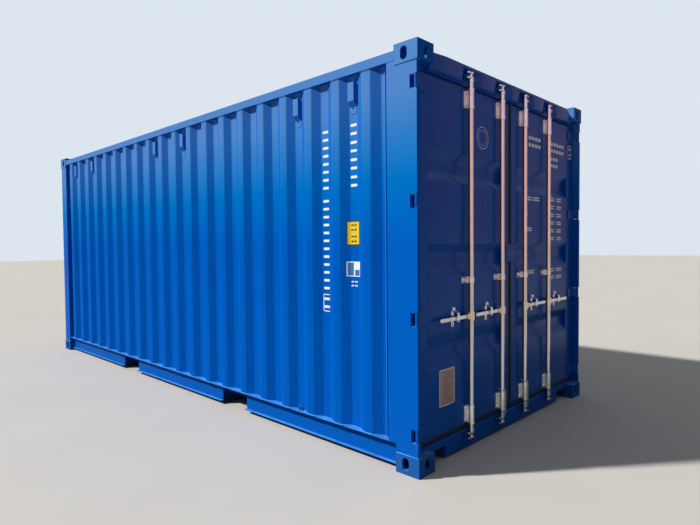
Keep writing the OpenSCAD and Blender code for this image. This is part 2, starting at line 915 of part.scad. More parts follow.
// Flat bar with an eye at the pivot and a rounded grip
module handle_shape() {
    color("#c4c2bd")
        difference() {
            union() {
                translate([0, pivot_y, handle_z])
                    rotate([0, 90, 0])
                        cylinder(r = 17, h = bar_t, center = true);
                box([-bar_t / 2, pivot_y, handle_z - bar_h / 2],
                    [bar_t / 2, pivot_y + handle_l - bar_h / 2, handle_z + bar_h / 2]);
                translate([0, pivot_y + handle_l - bar_h / 2, handle_z])
                    rotate([0, 90, 0])
                        cylinder(r = bar_h / 2, h = bar_t, center = true);
            }
            translate([0, pivot_y, handle_z])
                rotate([0, 90, 0])
                    cylinder(r = pivot_r + run, h = bar_t + 2, center = true);
        }
}

// Bent arm on its own pin, which slopes out over the handle and hangs in front of it
module catch_shape() {
    reach = 64;
    translate([0, 0, catch_z])
        color("#d3d1cc")
            difference() {
                union() {
                    translate([catch_in, 0, 0])
                        rotate([0, 90, 0])
                            cylinder(r = 15, h = catch_t);
                    rotate([90, 0, 0])
                        linear_extrude(22, center = true)
                            polygon([[catch_in, 0], [catch_in, -7], [catch_x, -24], [catch_x, -reach],
                                [catch_x + catch_t, -reach], [catch_x + catch_t, -20],
                                [catch_in + catch_t, -3], [catch_in + catch_t, 0]]);
                }
                translate([catch_in - 1, 0, 0])
                    rotate([0, 90, 0])
                        cylinder(r = pivot_r + run, h = catch_t + 6);
            }
}

module at_rod(i) {
    translate([rod_x, rods[i - 1], 0])
        scale([1, i < 3 ? -1 : 1, 1])
            children();
}

module at_catch(i) {
    translate([0, rods[i - 1] + (i < 3 ? -catch_y : catch_y), 0])
        children();
}

// Round cord swept along hand-chosen points
function unit(v) = v / norm(v);
function along(p, i) = unit(p[min(i + 1, len(p) - 1)] - p[max(i - 1, 0)]);
function square_to(n, t) = unit(n - (n * t) * t);
function normals(p, i, done) = i == len(p) ? done
    : normals(p, i + 1, concat(done, [square_to(i == 0 ? [1, 0.2, 0.1] : done[i - 1], along(p, i))]));
module cord(p, r, sides) {
    n = normals(p, 0, []);
    rings = [for (i = [0 : len(p) - 1]) each let (b = cross(along(p, i), n[i]))
        [for (k = [0 : sides - 1]) p[i] + r * (cos(360 * k / sides) * n[i] + sin(360 * k / sides) * b)]];
    walls = [for (i = [0 : len(p) - 2]) each let (a = i * sides, b = a + sides)
        [for (k = [0 : sides - 1]) [a + k, a + (k + 1) % sides, b + (k + 1) % sides, b + k]]];
    last = (len(p) - 1) * sides;
    first_cap = [for (k = [sides - 1 : -1 : 0]) k];
    last_cap = [for (k = [0 : sides - 1]) last + k];
    polyhedron(rings, concat([first_cap], walls, [last_cap]));
}

// Up beside the sleeve, once round the rod and down again
module tie_rope(y) {
    r = rod_r + 4.5;
    z = low_sleeve_z + sleeve_h / 2 + 12;
    up = [for (k = [0 : 11]) [rod_x + 2, y + 27, 144 + k * 14]];
    loop = [for (a = [80 : -24 : -280]) [rod_x + r * cos(a), y + r * sin(a), z + (80 - a) / 24]];
    down = [for (k = [1 : 11]) [rod_x - 2, y + 36 + k * 0.4, z - 2 - k * 15]];
    color("#d8cfb4")
        cord(concat(up, loop, down), 3, 8);
}

module tie_rope_left() {
    tie_rope(-rod_y1);
}

module tie_rope_right() {
    tie_rope(rod_y1);
}

castings_top();
castings_bottom();
front_posts();
rear_posts();
hinge_pins();
top_side_rails();
bottom_side_rails();
front_top_rail();
front_bottom_rail();
door_header();
door_sill();
side_wall_left();
side_wall_right();
front_wall();
roof_panel();
floor_boards();
cross_members();
fork_pocket_plates();
vents_left();
vents_right();
cam_keepers();
tie_back_hooks();
mirror([0, 1, 0]) door_frame();  // door_frame_left
mirror([0, 1, 0]) door_panel();  // door_panel_left
mirror([0, 1, 0]) door_gasket();  // door_gasket_left
mirror([0, 1, 0]) hinge_blades();  // hinge_blades_left
mirror([0, 1, 0]) rod_brackets();  // rod_brackets_left
mirror([0, 1, 0]) handle_retainers();  // handle_retainers_left
data_plate();
door_frame();  // door_frame_right
door_panel();  // door_panel_right
door_gasket();  // door_gasket_right
hinge_blades();  // hinge_blades_right
rod_brackets();  // rod_brackets_right
handle_retainers();  // handle_retainers_right
lap_plate();
tie_rope_left();
tie_rope_right();
at_rod(1) lock_rod_shape();  // lock_rod_1
at_rod(2) lock_rod_shape();  // lock_rod_2
at_rod(3) lock_rod_shape();  // lock_rod_3
at_rod(4) lock_rod_shape();  // lock_rod_4
at_rod(1) handle_shape();  // handle_1
at_rod(2) handle_shape();  // handle_2
at_rod(3) handle_shape();  // handle_3
at_rod(4) handle_shape();  // handle_4
at_catch(1) catch_shape();  // catch_1
at_catch(2) catch_shape();  // catch_2
at_catch(3) catch_shape();  // catch_3
at_catch(4) catch_shape();  // catch_4
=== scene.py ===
import json
import math
import bmesh
import bpy
import numpy as np
from mathutils import Matrix, Vector

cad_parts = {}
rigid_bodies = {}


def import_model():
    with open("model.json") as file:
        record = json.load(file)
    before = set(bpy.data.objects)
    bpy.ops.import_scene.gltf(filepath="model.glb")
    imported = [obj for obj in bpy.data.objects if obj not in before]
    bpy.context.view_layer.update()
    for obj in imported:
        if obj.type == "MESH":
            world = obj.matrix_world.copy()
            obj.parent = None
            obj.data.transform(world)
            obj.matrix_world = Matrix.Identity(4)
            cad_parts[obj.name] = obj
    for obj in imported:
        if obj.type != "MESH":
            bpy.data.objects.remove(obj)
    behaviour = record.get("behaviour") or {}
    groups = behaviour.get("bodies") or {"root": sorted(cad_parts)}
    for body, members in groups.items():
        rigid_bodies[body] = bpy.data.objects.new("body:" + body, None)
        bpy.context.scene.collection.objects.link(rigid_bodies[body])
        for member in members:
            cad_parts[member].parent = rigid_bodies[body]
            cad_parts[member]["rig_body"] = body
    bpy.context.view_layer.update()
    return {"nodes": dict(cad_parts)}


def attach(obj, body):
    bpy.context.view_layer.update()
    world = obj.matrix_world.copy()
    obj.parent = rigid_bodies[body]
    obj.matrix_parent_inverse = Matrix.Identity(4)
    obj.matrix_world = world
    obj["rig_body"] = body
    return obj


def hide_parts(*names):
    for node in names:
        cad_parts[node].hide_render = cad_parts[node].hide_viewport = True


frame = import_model()
nodes = frame["nodes"]


# Camera
# It stands about 3 m off the near door corner at eye height, where the photograph was taken from,
# with a wide lens and a lean of half a degree.
azimuth, elevation, roll = math.radians(44.24), math.radians(1.89), math.radians(-0.50)
stand = np.array([4.918, -3.730, 1.395])
sensor_mm, focal_pixels, picture_pixels = 36.0, 534.0, 700.0
back = np.array([math.sin(azimuth) * math.cos(elevation), -math.cos(azimuth) * math.cos(elevation),
                 math.sin(elevation)])
right = np.array([math.cos(azimuth), math.sin(azimuth), 0.0])
above = np.cross(back, right)
turned_right = math.cos(roll) * right + math.sin(roll) * above
turned_up = math.cos(roll) * above - math.sin(roll) * right
camera = bpy.data.objects.new("photo_camera", bpy.data.cameras.new("photo_camera"))
camera.data.sensor_width = sensor_mm
camera.data.lens = sensor_mm * focal_pixels / picture_pixels
camera.data.clip_end = 200.0
standing = np.eye(4)
standing[:3] = np.column_stack([turned_right, turned_up, back, stand])
camera.matrix_world = Matrix(standing.tolist())
bpy.context.scene.collection.objects.link(camera)
bpy.context.scene.camera = camera


# Tie ropes
# Two short pale cords, one on each inner lock rod above its lower sleeve, left to tie an open door back.
# Each is three-strand twisted fibre, passed once round the rod with both tails hanging beside the sleeve.
def shader_node(tree, kind, settings=None, sockets=None):
    """Adds a shader node, sets its properties, and sets or links its input sockets, by name or number."""
    made = tree.nodes.new("ShaderNode" + kind)
    for name, value in (settings or {}).items():
        setattr(made, name, value)
    for key, value in (sockets or {}).items():
        if isinstance(value, bpy.types.NodeSocket):
            tree.links.new(value, made.inputs[key])
        else:
            made.inputs[key].default_value = value
    return made


def object_place(tree):
    """Where a point lies on the container, in metres."""
    return tree.nodes.new("ShaderNodeTexCoord").outputs["Object"]


def noise(tree, vector, scale, detail=3.0, rough=0.5):
    """Noise value, 0 to 1, at a vector times a scale."""
    return shader_node(tree, "TexNoise", None, {"Vector": vector, "Scale": scale, "Detail": detail,
                                                "Roughness": rough}).outputs["Fac"]


def blend_colour(tree, factor, a, b, way="MIX"):
    """(1 - factor) a + factor b for two colours; where the way is MULTIPLY, b stands for a times b."""
    return shader_node(tree, "Mix", {"data_type": "RGBA", "blend_type": way},
                       {0: factor, 6: a, 7: b}).outputs[2]


def raised(tree, height, strength, distance, normal=None):
    """The normal of a surface lifted by height times a distance, over another normal where one is given."""
    bump = shader_node(tree, "Bump", None, {"Strength": strength, "Distance": distance, "Height": height})
    if normal is not None:
        tree.links.new(normal, bump.inputs["Normal"])
    return bump.outputs[0]


def new_material(name):
    """A material with only a Principled shader in it, its node tree and that shader."""
    material = bpy.data.materials.new(name)
    material.use_nodes = True
    return material, material.node_tree, material.node_tree.nodes["Principled BSDF"]


def mesh_piece(name, points, faces, material, body, finish, sharp=38.0):
    """An object from points and faces, its normals turned outwards and its edges above an angle sharp."""
    mesh = bpy.data.meshes.new(name)
    mesh.from_pydata(np.asarray(points, float).tolist(), [], [list(map(int, f)) for f in faces])
    form = bmesh.new()
    form.from_mesh(mesh)
    bmesh.ops.recalc_face_normals(form, faces=form.faces)
    form.to_mesh(mesh)
    form.free()
    mesh.polygons.foreach_set("use_smooth", np.ones(len(mesh.polygons), bool))
    mesh.set_sharp_from_angle(angle=math.radians(sharp))
    mesh.materials.append(material)
    made = bpy.data.objects.new(name, mesh)
    bpy.context.scene.collection.objects.link(made)
    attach(made, body)
    return made


def tube(path, radius, away, sides=8):
    """A bar along a path. Ring i is path[i] + radius (cos a * across + sin a * beside), where across is the
    part of `away` square to the path; radius may be an array with a value for each ring and side."""
    path = np.asarray(path, float)
    along = np.gradient(path, axis=0)
    along /= np.linalg.norm(along, axis=1, keepdims=True)
    away = np.broadcast_to(away, path.shape)
    across = away - (away * along).sum(1)[:, None] * along
    across = across / np.linalg.norm(across, axis=1, keepdims=True)
    beside = np.cross(along, across)
    a = np.linspace(0, 2 * np.pi, sides, endpoint=False)
    radius = np.broadcast_to(radius, (len(path), sides))[..., None]
    rings = path[:, None] + radius * (np.cos(a)[None, :, None] * across[:, None]
                                      + np.sin(a)[None, :, None] * beside[:, None])
    i = np.arange(len(path) * sides).reshape(len(path), sides)
    j = np.roll(i, -1, axis=1)
    walls = np.stack([i[:-1], j[:-1], j[1:], i[1:]], -1).reshape(-1, 4)
    return rings.reshape(-1, 3), [*walls, i[0][::-1], i[-1]]


def smooth_through(points, steps):
    """The path through points on Catmull-Rom cubics. From b to c, with neighbours a and d, it is
    (2b + (c - a) t + (2a - 5b + 4c - d) t^2 + (3b - a - 3c + d) t^3) / 2, with t in equal steps."""
    p = np.vstack([2 * points[0] - points[1], points, 2 * points[-1] - points[-2]])
    t = (np.arange(steps) / steps)[None, :, None]
    a, b, c, d = p[:-3, None], p[1:-2, None], p[2:-1, None], p[3:, None]
    curve = 0.5 * (2 * b + (c - a) * t + (2 * a - 5 * b + 4 * c - d) * t ** 2
                   + (3 * b - a - 3 * c + d) * t ** 3)
    return np.vstack([curve.reshape(-1, 3), points[-1:]])


rope_fibre, tree, shader = new_material("rope_fibre")
fibres = noise(tree, object_place(tree), 900.0)
tree.links.new(blend_colour(tree, fibres, (0.76, 0.73, 0.65, 1), (0.95, 0.93, 0.87, 1)),
               shader.inputs["Base Color"])
tree.links.new(raised(tree, fibres, 0.5, 0.0006), shader.inputs["Normal"])
shader.inputs["Roughness"].default_value = 0.9

rod_x, inner_rod_y = 3.003, 0.178
rope_radius, twist_length, rope_sides = 0.003, 0.016, 15
loop_radius, loop_height = 0.0215, 0.320
for side, body in ((-1, "door_left"), (1, "door_right")):
    rod_y = side * inner_rod_y
    k = np.arange(12)
    up_tail = np.stack([np.full(12, rod_x + 0.011), np.full(12, rod_y + 0.033), 0.144 + 0.014 * k], 1)
    turn = np.radians(np.arange(80, -281, -24))
    loop = np.stack([rod_x + loop_radius * np.cos(turn), rod_y + loop_radius * np.sin(turn),
                     loop_height + (80 - np.degrees(turn)) / 24000], 1)
    k = np.arange(1, 12)
    down_tail = np.stack([np.full(11, rod_x + 0.005), rod_y + 0.041 + 0.0004 * k, 0.318 - 0.015 * k], 1)
    route = smooth_through(np.vstack([up_tail, loop, down_tail]), 8)
    travelled = np.concatenate([[0], np.cumsum(np.linalg.norm(np.diff(route, axis=0), axis=1))])
    a = np.linspace(0, 2 * np.pi, rope_sides, endpoint=False)
    twisted = a[None, :] - 2 * np.pi * travelled[:, None] / twist_length
    strands = rope_radius * (0.86 + 0.14 * np.abs(np.cos(1.5 * twisted)))
    outward = route - np.array([rod_x, rod_y, 0.0])
    outward[:, 2] = 0
    name = "tie_rope_left" if side < 0 else "tie_rope_right"
    rope = mesh_piece(name + "_strands", *tube(route, strands, outward, rope_sides), rope_fibre, body,
                      "rope_fibre", 70)
    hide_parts(name)


# Corner castings
# Eight hollow steel castings, each with an oblong slot and two oblong holes, welded to the posts and rails.
# They carry the same two-coat blue paint as the frame, over a slightly grainy cast surface, rounded at the
# edges.
def reckon(tree, operation, a, b=0.0, clamp=False):
    """One Math node of two values: their product, sum, difference or larger one, or the size of the first."""
    return shader_node(tree, "Math", {"operation": operation, "use_clamp": clamp}, {0: a, 1: b}).outputs[0]


def between(tree, value, low, high, to_low=0.0, to_high=1.0):
    """A value mapped evenly from one range to another, and held at that range's ends."""
    return shader_node(tree, "MapRange", None, {0: value, 1: low, 2: high, 3: to_low, 4: to_high}).outputs[0]


def split(tree, vector):
    """The x, y and z of a vector."""
    return shader_node(tree, "SeparateXYZ", None, {0: vector}).outputs


def stretched(tree, place, scale):
    """A place with its x, y and z each times its own scale."""
    return shader_node(tree, "Mapping", None, {"Vector": place, "Scale": scale}).outputs[0]


def effect_group(name, inputs, outputs):
    """An empty node group with named input sockets (label, type, value) and output sockets (label, type)."""
    group = bpy.data.node_groups.new(name, "ShaderNodeTree")
    for label, kind, value in inputs:
        socket = group.interface.new_socket(label, in_out="INPUT", socket_type="NodeSocket" + kind)
        socket.default_value = value
    for label, kind in outputs:
        group.interface.new_socket(label, in_out="OUTPUT", socket_type="NodeSocket" + kind)
    return group, group.nodes.new("NodeGroupInput").outputs, group.nodes.new("NodeGroupOutput").inputs


# Weathered paint: cloudy thickness, rain streaks, a painted sheen high on the long sides' flat faces, a pale
# painted highlight on up-facing ledges and road dust low down, with the roughness of each.
thick_coat, streak, ledge_highlight, road_dust = ((0.0, 0.15, 0.60, 1), (0.01, 0.13, 0.42, 1),
                                             (0.10, 0.40, 0.85, 1), (0.05, 0.12, 0.20, 1))
sheen_blue, sheen_pale_blue = (0.0, 0.28, 0.64, 1), (0.11, 0.285, 0.65, 1)
weathering_and_painted_light, given, result = effect_group(
    "weathering_and_painted_light", [("Paint", "Color", (0, 0.1, 0.5, 1)), ("Streaks", "Float", 0.3),
                        ("Dust", "Float", 0.3), ("Gloss", "Float", 0.3), ("Ledges", "Float", 0.6),
                        ("Painted_sheen", "Float", 0.5)],
    [("Color", "Color"), ("Roughness", "Float")])
tree, place = weathering_and_painted_light, object_place(weathering_and_painted_light)
height = split(tree, place)[2]
facing = split(tree, tree.nodes.new("ShaderNodeNewGeometry").outputs["Normal"])
cloud = noise(tree, place, 1.4, 4.0)
tone = blend_colour(tree, between(tree, cloud, 0.3, 0.7, 0.0, 0.16), given["Paint"], thick_coat)
runs = between(tree, noise(tree, stretched(tree, place, (16.0, 16.0, 0.45)), 1.0, 4.0, 0.6), 0.56, 0.78)
runs = reckon(tree, "MULTIPLY", runs, given["Streaks"])
tone = blend_colour(tree, runs, tone, streak)
# Painted sheen: flat faces that look sideways turn paler towards the top, in place of the sky's reflection
# there.
sideways = between(tree, reckon(tree, "ABSOLUTE", facing[1]), 0.86, 0.985)
sheen_mask = reckon(tree, "MULTIPLY", between(tree, height, 1.4, 2.3),
               reckon(tree, "MULTIPLY", sideways, given["Painted_sheen"]))
tone = blend_colour(tree, sheen_mask, tone,
                    blend_colour(tree, between(tree, height, 1.8, 2.35), sheen_blue, sheen_pale_blue))
# Painted highlight: up-facing faces turn pale blue in patches, in place of sunlight catching the ledges.
patchy = between(tree, noise(tree, place, 7.0, 4.0), 0.3, 0.6, 0.6)
ledge = reckon(tree, "MULTIPLY", between(tree, facing[2], 0.35, 0.9),
               reckon(tree, "MULTIPLY", given["Ledges"], patchy))
tone = blend_colour(tree, ledge, tone, ledge_highlight)
low_down = between(tree, height, 0.0, 0.55, 1.0, 0.0)
settled = reckon(tree, "MULTIPLY", low_down, noise(tree, place, 9.0, 5.0))
settled = reckon(tree, "MULTIPLY", settled, given["Dust"], True)
tree.links.new(blend_colour(tree, settled, tone, road_dust), result["Color"])
rough = reckon(tree, "ADD", given["Gloss"], between(tree, cloud, 0.2, 0.8, 0.0, 0.1))
rough = reckon(tree, "ADD", rough, reckon(tree, "MULTIPLY", settled, 0.8))
rough = reckon(tree, "ADD", rough, reckon(tree, "MULTIPLY", runs, 0.3), True)
tree.links.new(rough, result["Roughness"])

# Sprayed steel: wide shallow waves of the sheet under the fine grain of the paint.
sprayed_steel, given, result = effect_group(
    "sprayed_steel", [("Waves", "Float", 0.3), ("Grain", "Float", 0.1)], [("Normal", "Vector")])
tree, place = sprayed_steel, object_place(sprayed_steel)
wide = raised(tree, noise(tree, place, 3.2, 2.0), given["Waves"], 0.004)
fine = raised(tree, noise(tree, place, 210.0, 2.0), given["Grain"], 0.0008, wide)
tree.links.new(fine, result["Normal"])


def blue_paint(name, colour, streaks=0.25, dust=0.25, gloss=0.3, waves=0.3, grain=0.15, specular=0.04,
               ledges=0.8, painted_sheen=0.8):
    """Blue container paint: weathered colour with a painted sheen and painted ledge highlights, its
    roughness, and a sprayed surface over wavy steel.
    """
    material, tree, shader = new_material(name)
    coat = shader_node(tree, "Group", {"node_tree": weathering_and_painted_light},
                       {"Paint": (*colour, 1), "Streaks": streaks, "Dust": dust, "Gloss": gloss,
                        "Ledges": ledges, "Painted_sheen": painted_sheen})
    relief = shader_node(tree, "Group", {"node_tree": sprayed_steel}, {"Waves": waves, "Grain": grain})
    tree.links.new(coat.outputs["Color"], shader.inputs["Base Color"])
    tree.links.new(coat.outputs["Roughness"], shader.inputs["Roughness"])
    tree.links.new(relief.outputs["Normal"], shader.inputs["Normal"])
    shader.inputs["Specular IOR Level"].default_value = specular
    return material


def softened(node, material, edge):
    """A copy of a CAD node, its loose triangles merged into flat faces and its edges rounded by `edge`."""
    same_point, same_plane, corner = 2e-5, math.radians(0.6), math.radians(32.0)
    source = nodes[node]
    mesh = source.data.copy()
    form = bmesh.new()
    form.from_mesh(mesh)
    bmesh.ops.remove_doubles(form, verts=form.verts, dist=same_point)
    bmesh.ops.dissolve_limit(form, angle_limit=same_plane, verts=form.verts, edges=form.edges)
    form.to_mesh(mesh)
    form.free()
    mesh.materials.clear()
    mesh.materials.append(material)
    mesh.polygons.foreach_set("use_smooth", np.ones(len(mesh.polygons), bool))
    copy = bpy.data.objects.new(node + "_piece", mesh)
    bpy.context.scene.collection.objects.link(copy)
    round_off = copy.modifiers.new("rounded_edges", "BEVEL")
    round_off.width, round_off.segments, round_off.limit_method = edge, 2, "ANGLE"
    round_off.angle_limit = corner
    round_off.miter_outer = "MITER_ARC"
    copy.modifiers.new("flat_faces", "WEIGHTED_NORMAL").keep_sharp = True
    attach(copy, source["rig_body"])
    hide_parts(node)
    return copy


blue = (0.0, 0.115, 0.52)
casting_paint = blue_paint("casting_paint", blue, streaks=0.2, dust=0.8, gloss=0.36, waves=0.15, grain=0.45)
for node in ("castings_top", "castings_bottom"):
    softened(node, casting_paint, 0.009)


# Posts and rails
# Pressed and rolled steel posts, top tubes and open bottom channels, welded between the castings and painted.
# The rear posts are notched for the hinges, which turn on plain steel pins.
post_paint = blue_paint("post_paint", (0.0, 0.118, 0.565), streaks=0.22, dust=0.1, gloss=0.27, waves=0.25,
                        grain=0.12, specular=0.012)
for node in ("front_posts", "rear_posts"):
    softened(node, post_paint, 0.0025)
frame_paint = blue_paint("frame_paint", (0.0, 0.108, 0.50), streaks=0.22, dust=0.1, gloss=0.27, waves=0.25,
                         grain=0.12, specular=0.012)
for node, edge in (("top_side_rails", 0.0014), ("bottom_side_rails", 0.0016), ("front_top_rail", 0.0014),
                   ("front_bottom_rail", 0.0018)):
    softened(node, frame_paint, edge)

# Zinc coat: small crystal patches over soft clouds, some duller and rougher than others.
zinc_coat, given, result = effect_group(
    "zinc_coat", [("Bright", "Color", (0.8, 0.8, 0.8, 1)), ("Dull", "Color", (0.6, 0.6, 0.6, 1)),
                  ("Scale", "Float", 260.0), ("Gloss", "Float", 0.3)],
    [("Color", "Color"), ("Roughness", "Float"), ("Metallic", "Float")])
tree, place = zinc_coat, object_place(zinc_coat)
crystals = shader_node(tree, "TexVoronoi", None, {"Vector": place, "Scale": given["Scale"]}).outputs["Color"]
crystals = shader_node(tree, "SeparateColor", None, {0: crystals}).outputs[0]
dull = reckon(tree, "MULTIPLY", between(tree, noise(tree, place, 14.0, 4.0), 0.35, 0.7), crystals)
tree.links.new(blend_colour(tree, dull, given["Bright"], given["Dull"]), result["Color"])
tree.links.new(reckon(tree, "ADD", given["Gloss"], between(tree, dull, 0.0, 1.0, 0.0, 0.08)),
               result["Roughness"])
tree.links.new(between(tree, dull, 0.0, 1.0, 1.0, 0.94), result["Metallic"])


def zinc(name, bright, dull, gloss, grain=260.0, foot=None, upper=(1.0, 1.0, 1.0), cast=None):
    """Zinc-plated steel. Its colour may be times `foot` below 0.35 m and times `upper` above 1.1 m, evenly
    between, which on the lock rods is a painted reflection of the surround, and a lock rod's two cast ends,
    from 1.13 m off its middle, may have a tint of their own."""
    rod_middle, half_rod = 1.299, 1.13
    material, tree, shader = new_material(name)
    coat = shader_node(tree, "Group", {"node_tree": zinc_coat}, {"Bright": (*bright, 1), "Dull": (*dull, 1),
                                                                 "Scale": grain, "Gloss": gloss})
    colour = coat.outputs["Color"]
    if foot:
        height = split(tree, object_place(tree))[2]
        tint = blend_colour(tree, between(tree, height, 0.35, 1.1), (*foot, 1), (*upper, 1))
        if cast:
            reach = reckon(tree, "ABSOLUTE", reckon(tree, "SUBTRACT", height, rod_middle))
            at_end = between(tree, reach, half_rod - 0.01, half_rod + 0.01)
            tint = blend_colour(tree, at_end, tint, (*cast, 1))
        colour = blend_colour(tree, 1.0, colour, tint, "MULTIPLY")
    tree.links.new(colour, shader.inputs["Base Color"])
    tree.links.new(coat.outputs["Roughness"], shader.inputs["Roughness"])
    tree.links.new(coat.outputs["Metallic"], shader.inputs["Metallic"])
    return material


pin_steel = zinc("pin_steel", (0.45, 0.46, 0.47), (0.22, 0.2, 0.18), 0.35)
softened("hinge_pins", pin_steel, 0.001)


# Door header and sill
# Pressed box sections across the door opening, welded to the rear castings and posts; the header is pressed
# back round the four top cams. The header's paint is darker and glossier than the sill's.
header_paint = blue_paint("header_paint", (0.0, 0.08, 0.41), streaks=0.25, dust=0.0, gloss=0.3, waves=0.3,
                          grain=0.12, specular=0.22, ledges=0.15, painted_sheen=0.15)
softened("door_header", header_paint, 0.003)
sill_paint = blue_paint("sill_paint", (0.0, 0.10, 0.50), streaks=0.25, dust=0.15, gloss=0.27, waves=0.3,
                        grain=0.12, specular=0.06, ledges=0.15, painted_sheen=0.15)
softened("door_sill", sill_paint, 0.0025)


# Side walls
# Corrugated steel sheets, 20 waves each, pressed with a soft bend at every corner and welded into the rails.
# One painted sheet runs the length of each side.
def waves(count, first, slope, crest, valley, span):
    """Corners of a trapezoid wave, each its distance along the sheet and its level, 0 or 1. Wave k starts at
    first + k (2 slope + crest + valley), its corners 0, slope, slope + crest and 2 slope + crest further."""
    starts = first + np.arange(count)[:, None] * (2 * slope + crest + valley)
    along = (starts + np.array([0, slope, slope + crest, 2 * slope + crest])).ravel()
    level = np.concatenate([[0], np.tile([0, 1, 1, 0], count), [0]])
    return np.stack([np.concatenate([[0], along, [span]]), level], 1)


def bent(corners, setback, steps=4):
    """A bent outline: each corner C becomes (1-t)^2 A + 2t(1-t) C + t^2 B, with A and B a setback from it."""
    c = corners[1:-1]
    before, after = corners[:-2] - c, corners[2:] - c
    a = c + setback * before / np.linalg.norm(before, axis=1, keepdims=True)
    b = c + setback * after / np.linalg.norm(after, axis=1, keepdims=True)
    t = np.linspace(0, 1, steps)[None, :, None]
    curve = (1 - t) ** 2 * a[:, None] + 2 * t * (1 - t) * c[:, None] + t ** 2 * b[:, None]
    return np.vstack([corners[:1], curve.reshape(-1, 2), corners[-1:]])


def thick_grid(top, bottom):
    """A closed sheet from two grids of points: a quad joins points (i, j), (i + 1, j), (i + 1, j + 1) and
    (i, j + 1) of each grid, and a strip joins the two grids round their rims."""
    n, m = top.shape[:2]
    index = np.arange(n * m).reshape(n, m)
    quads = np.stack([index[:-1, :-1], index[1:, :-1], index[1:, 1:], index[:-1, 1:]], -1).reshape(-1, 4)
    rim = np.concatenate([index[:, 0], index[-1, 1:], index[-2::-1, -1], index[0, -2:0:-1]])
    ahead = np.roll(rim, -1)
    edge = np.stack([rim, ahead, ahead + n * m, rim + n * m], 1)
    return np.vstack([top.reshape(-1, 3), bottom.reshape(-1, 3)]), np.vstack([quads, quads + n * m, edge])


def bent_sheet(outline, gauge, ends, place):
    """A bent sheet of one gauge: its outline (u, v) carried between two ends w, with place(u, v, w) the
    points of one face and place(u, v - gauge, w) those of the other."""
    u, v = outline[:, :1] + 0 * np.array([ends]), outline[:, 1:] + 0 * np.array([ends])
    w = 0 * u + np.array([ends])
    return thick_grid(place(u, v, w), place(u, v - gauge, w))


wall_rear, wall_length, recess_y, wall_depth = 2.790, 5.641, 1.175, 0.036
wall_foot, wall_head, sheet_gauge = 0.175, 2.498, 0.003
wall_waves = waves(count=20, first=0.071, slope=0.068, crest=0.072, valley=0.070, span=wall_length)
wall_outline = bent(wall_waves * [1, wall_depth] + [0, recess_y], 0.007)
wall_paint = blue_paint("wall_paint", (0.0, 0.107, 0.525), streaks=0.25, dust=0.06, gloss=0.26, waves=0.5,
                        grain=0.12, specular=0.004)
for side, name in ((-1, "side_wall_left"), (1, "side_wall_right")):
    sheet = bent_sheet(wall_outline, sheet_gauge, (wall_foot, wall_head),
                       lambda u, v, w: np.stack([wall_rear - u, side * v, w], -1))
    wall = mesh_piece(name + "_sheet", *sheet, wall_paint, "container", "wall_paint", 50)
    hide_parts(name)


# Weld seams
# Continuous painted beads where each wall meets its rails, following the corrugation, where the posts and
# rails meet the castings, and down the joint of the last wall panel beside each rear post.
def joined(parts):
    """Several sets of points and faces as one set, each set's numbers counted on from the last one's."""
    points, faces, start = [], [], 0
    for p, f in parts:
        points.append(p)
        faces += [np.asarray(face) + start for face in f]
        start += len(p)
    return np.vstack(points), faces


upright, lengthwise = (0.0, 0.0, 1.0), (1.0, 0.0, 0.0)
rear_turn = np.array([[2.853, 1.215], [3.017, 1.215], [3.020, 1.212], [3.020, 1.188], [3.017, 1.185],
                      [2.975, 1.185]])
front_turn = np.array([[-2.853, 1.215], [-3.017, 1.215], [-3.020, 1.212], [-3.020, 1.062]])
casting_joints, rail_end, panel_joint = (0.119, 2.472), 2.850, 2.749
seams = []
for side in (-1, 1):
    for z, bead in ((wall_foot + 0.0015, 0.006), (wall_head - 0.0015, 0.0038)):
        along_wall = np.stack([wall_rear - wall_outline[:, 0], side * (wall_outline[:, 1] + 0.001),
                               np.full(len(wall_outline), z)], 1)
        seams.append(tube(along_wall, bead, upright, 6))
    for z in casting_joints:
        for turn in (rear_turn, front_turn):
            round_post = np.column_stack([turn[:, 0], side * turn[:, 1], np.full(len(turn), z)])
            seams.append(tube(round_post, 0.005, upright, 6))
    for x in (-rail_end, rail_end):
        top = [[x, side * 1.160, 2.5585], [x, side * 1.2135, 2.5585], [x, side * 1.2175, 2.5545],
               [x, side * 1.2175, 2.5]]
        foot = [[x, side * 1.169, 0.1755], [x, side * 1.2095, 0.1755], [x, side * 1.2135, 0.1715]]
        seams += [tube(run, 0.0036, lengthwise, 6) for run in (top, foot)]
    seams.append(tube([[panel_joint, side * 1.176, z] for z in (0.18, 1.33, 2.49)], 0.0055, lengthwise, 6))
# The beads' lighter blue and full ledge pale are a painted highlight of the sun on them.
highlit_seam_paint = blue_paint("highlit_seam_paint", (0.03, 0.22, 0.66), streaks=0.1, dust=0.0, gloss=0.3, waves=0.0,
                        grain=0.5, ledges=1.0)
mesh_piece("weld_seams", *joined(seams), highlit_seam_paint, "container", "frame_paint", 60)


# Front wall and roof
# The closed end is one steel sheet with eight deep waves; the roof is die-pressed with 26 shallow ridges that
# fade out before the side rails. Both are welded in all round.
front_width, front_inner, front_depth = 2.114, 2.970, 0.045
front_waves = waves(count=8, first=0.109, slope=0.018, crest=0.110, valley=0.104, span=front_width)
front_outline = bent(front_waves * [1, front_depth] + [0, front_inner], 0.006)
end_paint = blue_paint("end_paint", blue, streaks=0.3, dust=0.15, gloss=0.27, waves=0.5, grain=0.12)
sheet = bent_sheet(front_outline, sheet_gauge, (0.150, wall_head),
                   lambda u, v, w: np.stack([-v, u - front_width / 2, w], -1))
front = mesh_piece("front_wall_sheet", *sheet, end_paint, "container", "end_paint", 50)
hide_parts("front_wall")

